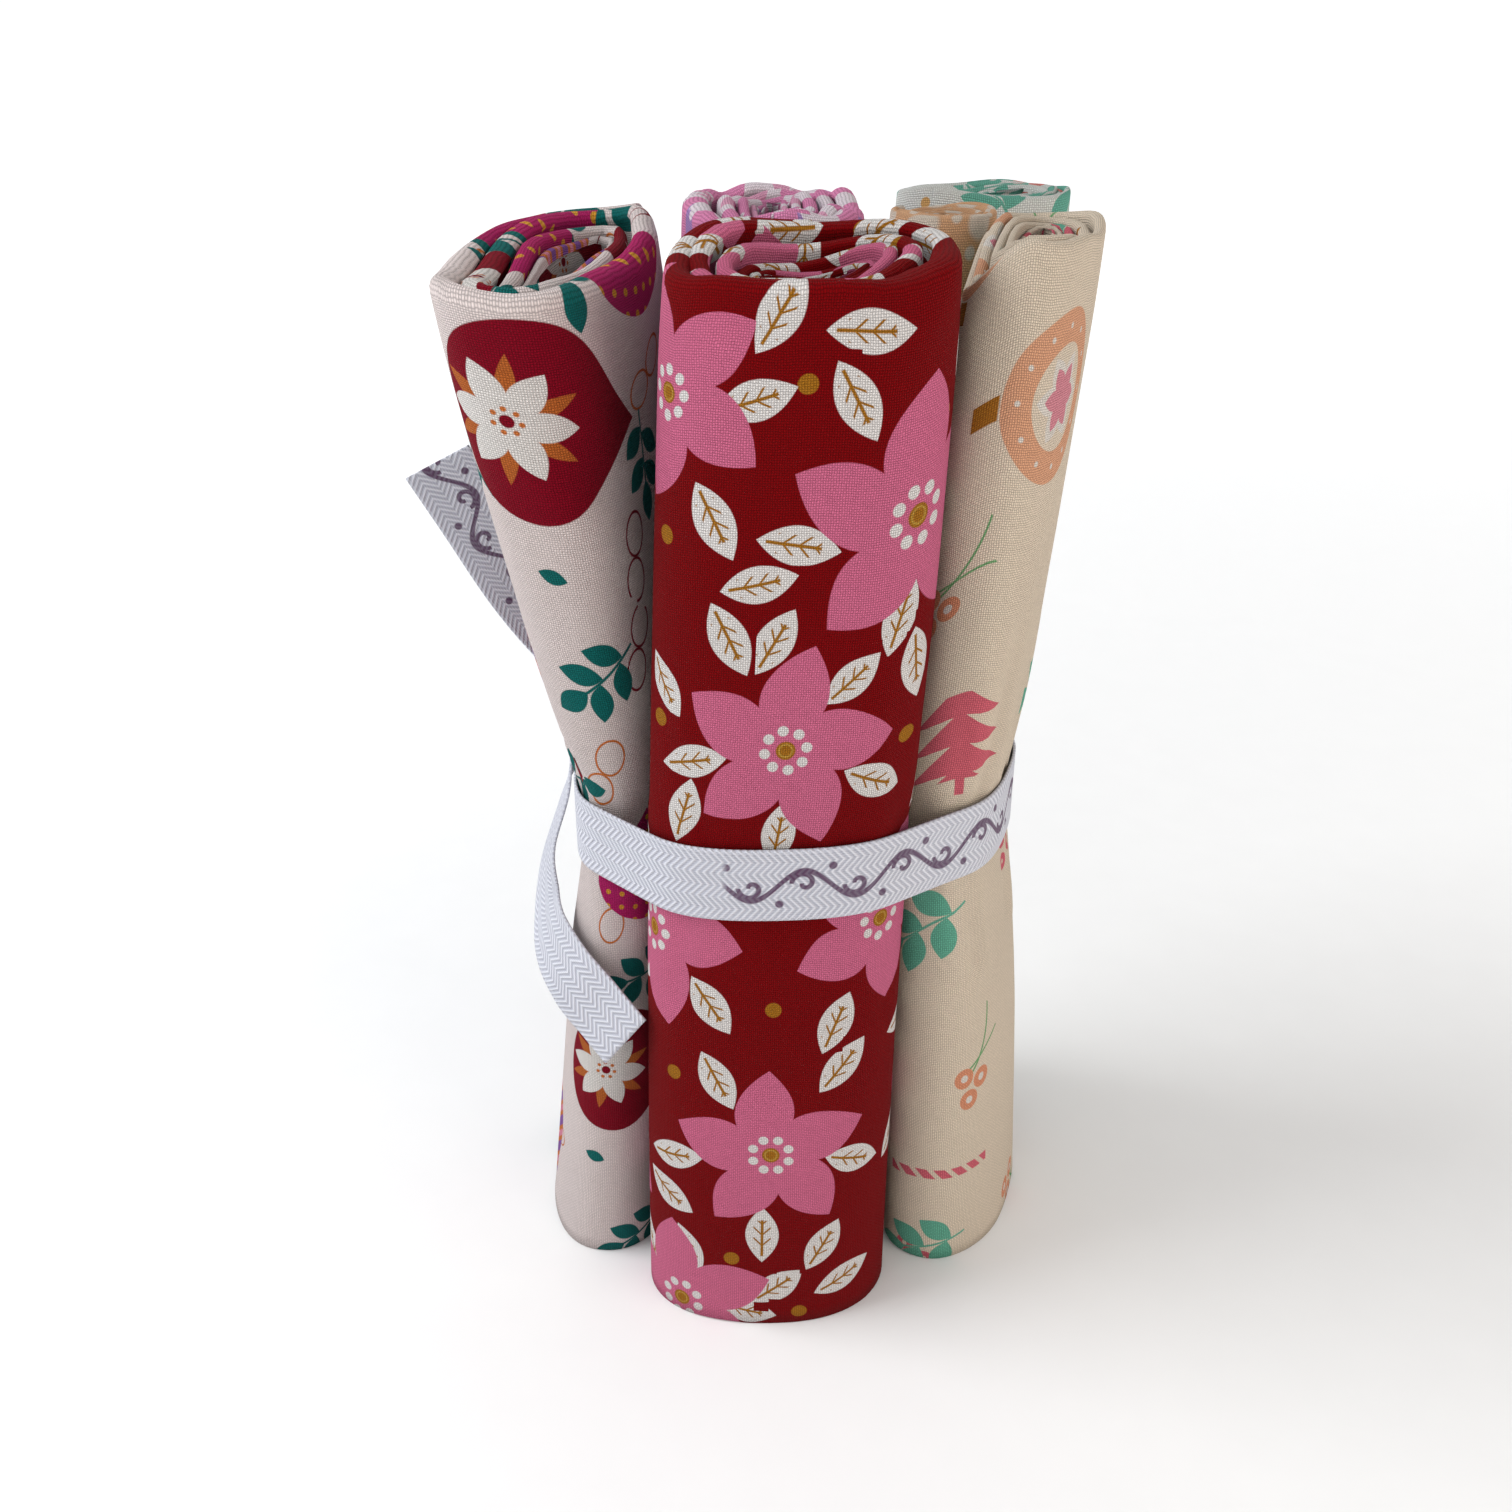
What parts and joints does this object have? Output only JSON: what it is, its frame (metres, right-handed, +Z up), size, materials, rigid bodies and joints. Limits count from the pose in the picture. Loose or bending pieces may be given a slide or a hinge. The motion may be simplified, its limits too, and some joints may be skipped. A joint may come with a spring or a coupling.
{
  "type": "tied bundle of rolled quilting fabric",
  "caption": "Upright bundle of quilting cotton cuts, each folded and softly rolled, tied round the waist with flat woven tape that ends in two loose tails",
  "frame": {"origin": "middle of the box that the bundle stands in, on the surface that it stands on", "axes": "+Z up along the rolls, -Y the front with the crimson roll, +X to the right seen from the front"},
  "size_m": [0.1458, 0.1109, 0.235],
  "materials": {
    "cotton_cream_ornament": "matt plain-weave printed cotton",
    "cotton_crimson_poinsettia": "matt plain-weave printed cotton",
    "cotton_ivory_bauble": "matt plain-weave printed cotton",
    "cotton_pink_blossom": "matt plain-weave printed cotton",
    "cotton_peach_snow": "matt plain-weave printed cotton",
    "cotton_mint_berry": "matt plain-weave printed cotton",
    "cotton_tape": "matt herringbone twill cotton tape"
  },
  "bodies": {
    "bundle": {"roll_ornament_cream": "cotton_cream_ornament", "roll_poinsettia_crimson": "cotton_crimson_poinsettia", "roll_bauble_ivory": "cotton_ivory_bauble", "roll_blossom_pink": "cotton_pink_blossom", "roll_snow_peach": "cotton_peach_snow", "roll_berry_mint": "cotton_mint_berry", "tape_band": "cotton_tape", "tape_knot": "cotton_tape"},
    "tail_upper": {"tape_tail_upper": "cotton_tape"},
    "tail_lower": {"tape_tail_lower": "cotton_tape"}
  },
  "joints": [
    {"name": "upper_tail_swing", "type": "hinge", "parent": "bundle", "child": "tail_upper", "pos_m": [-0.03607, 0.02947, 0.1235], "axis": [-0.6, -0.8, 0], "range_deg": [0, 100]},
    {"name": "lower_tail_swing", "type": "hinge", "parent": "bundle", "child": "tail_lower", "pos_m": [-0.03657, 0.02197, 0.1155], "axis": [0, 0, -1], "range_deg": [0, 45]}
  ]
}
